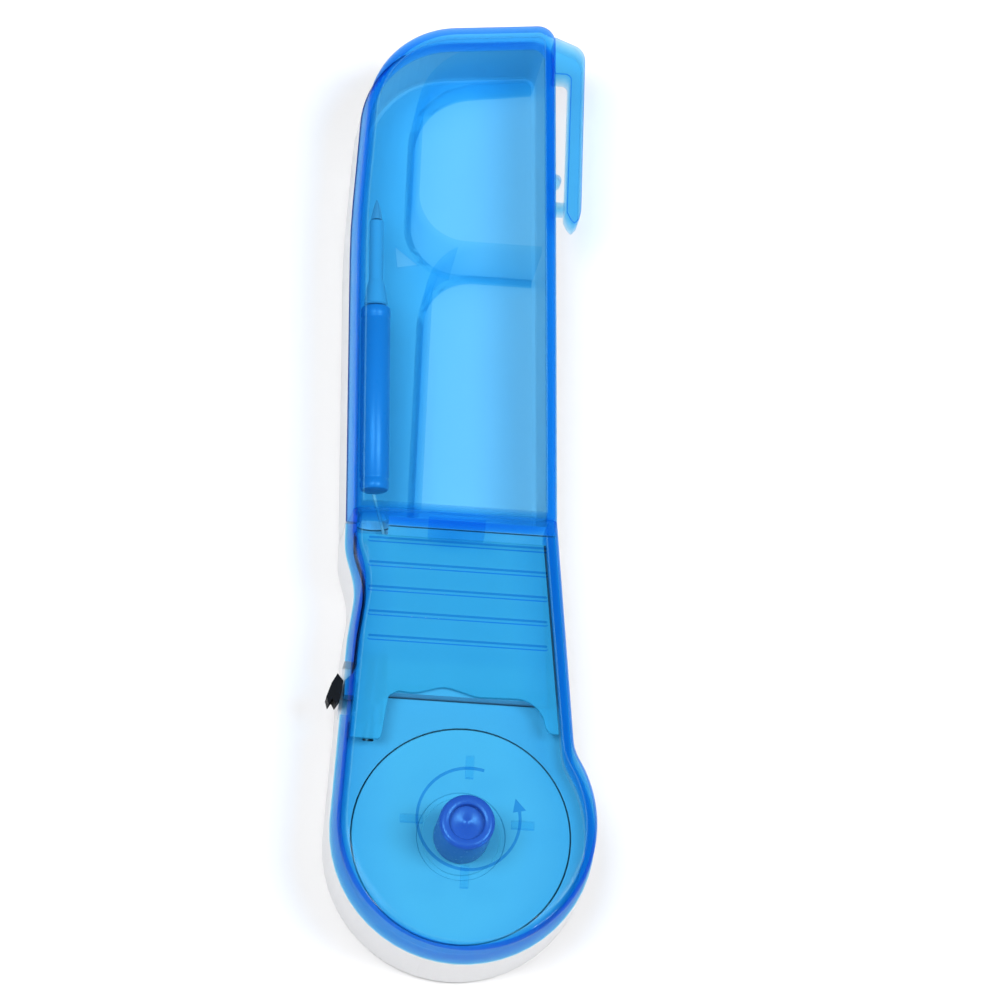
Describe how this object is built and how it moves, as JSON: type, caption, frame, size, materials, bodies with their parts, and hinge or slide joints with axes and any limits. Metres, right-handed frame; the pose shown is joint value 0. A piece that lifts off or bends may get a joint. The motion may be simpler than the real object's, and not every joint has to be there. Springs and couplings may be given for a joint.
{
  "type": "chalk line reel",
  "caption": "Flat hand line reel: round sprung spool end, ribbed grip with a line-lock trigger, and a pull-off cap with a pocket clip that stows the line's anchor pin.",
  "frame": {"origin": "on the spool's axis, on the flat rear face", "axes": "+Z out of the clear front face, +Y from the reel end to the cap end, +X to the right seen from the front, the clip's side"},
  "size_m": [0.0558, 0.195, 0.0333],
  "materials": {
    "clear_blue": "clear blue moulded plastic",
    "white_shell": "white moulded plastic",
    "pale_plastic": "pale moulded plastic",
    "indigo_plastic": "dark indigo moulded plastic",
    "dark_blue_plastic": "dark blue moulded plastic",
    "black_plastic": "black moulded plastic",
    "steel": "bright steel",
    "felt": "white felt",
    "line_fibre": "twisted line"
  },
  "bodies": {
    "body": {"rear_casing": "white_shell", "front_cover": "clear_blue", "chamber_tray": "white_shell", "chamber_lid": "clear_blue", "felt_inlet": "felt", "felt_outlet": "felt", "line_eyelet": "steel", "line_strand": "line_fibre", "line_anvil": "white_shell", "trigger_pin": "steel", "trigger_spring": "steel", "spring_arbor": "white_shell", "mainspring": "steel", "axle_pin": "steel"},
    "reel": {"spool": "pale_plastic", "drum_cover": "pale_plastic", "spool_hub": "indigo_plastic", "line_pack": "line_fibre"},
    "trigger": {"trigger_pad": "black_plastic", "trigger_arm": "indigo_plastic"},
    "cap": {"cap_front_shell": "clear_blue", "cap_rear_shell": "white_shell", "cap_liner": "clear_blue", "pocket_clip": "clear_blue"},
    "anchor_pin": {"pin_handle": "dark_blue_plastic", "pin_collar": "pale_plastic", "pin_needle": "steel"}
  },
  "joints": [
    {"name": "reel_spin", "type": "hinge", "parent": "body", "child": "reel", "pos_m": [0, 0, 0.008], "axis": [0, 0, 1], "continuous": true},
    {"name": "trigger_press", "type": "hinge", "parent": "body", "child": "trigger", "pos_m": [-0.022, 0.0336, 0.016], "axis": [0, 0, 1], "range_deg": [0, 8.5], "stiffness_Nm_per_rad": 0.12, "springref_deg": -5.73},
    {"name": "cap_slide", "type": "slide", "parent": "body", "child": "cap", "axis": [-0.0419, 0.9991, 0], "range_m": [0, 0.08]},
    {"name": "anchor_pin_slide", "type": "slide", "parent": "body", "child": "anchor_pin", "axis": [-0.0419, 0.9991, 0], "range_m": [0, 0.008]}
  ]
}
